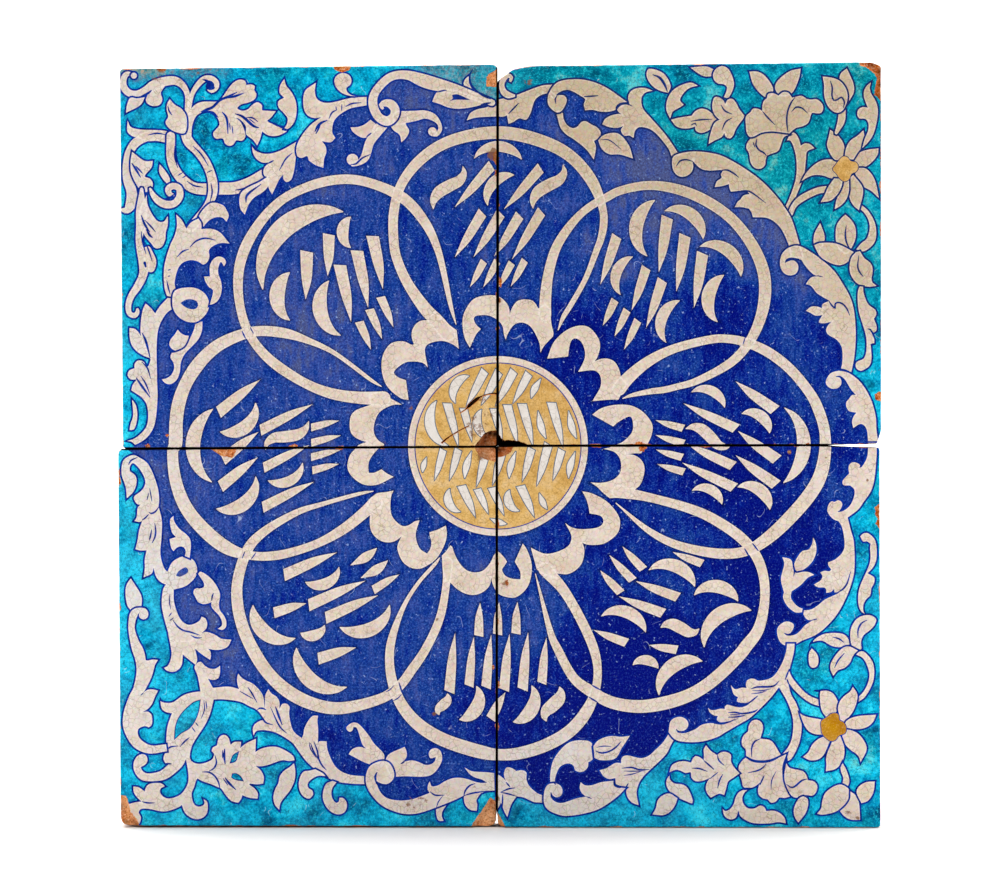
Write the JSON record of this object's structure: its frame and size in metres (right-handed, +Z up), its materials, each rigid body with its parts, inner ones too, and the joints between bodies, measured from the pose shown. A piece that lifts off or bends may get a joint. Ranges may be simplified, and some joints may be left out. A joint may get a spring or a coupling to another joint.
{
  "type": "glazed tile panel",
  "caption": "Square wall panel of glazed clay tiles laid with open joints, painted with a rosette of overlapping rings round a medallion.",
  "frame": {"origin": "on the back face of the lower right tile, 10 mm right of and 10 mm below the crossing of the joints, at the middle of the panel's back", "axes": "+X to the right as seen from the front, +Z up, +Y out of the back into the wall; the painted fronts face -Y"},
  "size_m": [0.6087, 0.025, 0.6104],
  "materials": {
    "glazed_clay": "painted under a crazed clear glaze, bare fired clay at the sides, back and chips"
  },
  "bodies": {
    "root": {"tile_top_left": "glazed_clay", "tile_top_right": "glazed_clay", "tile_bottom_left": "glazed_clay", "tile_bottom_right": "glazed_clay"}
  },
  "joints": []
}
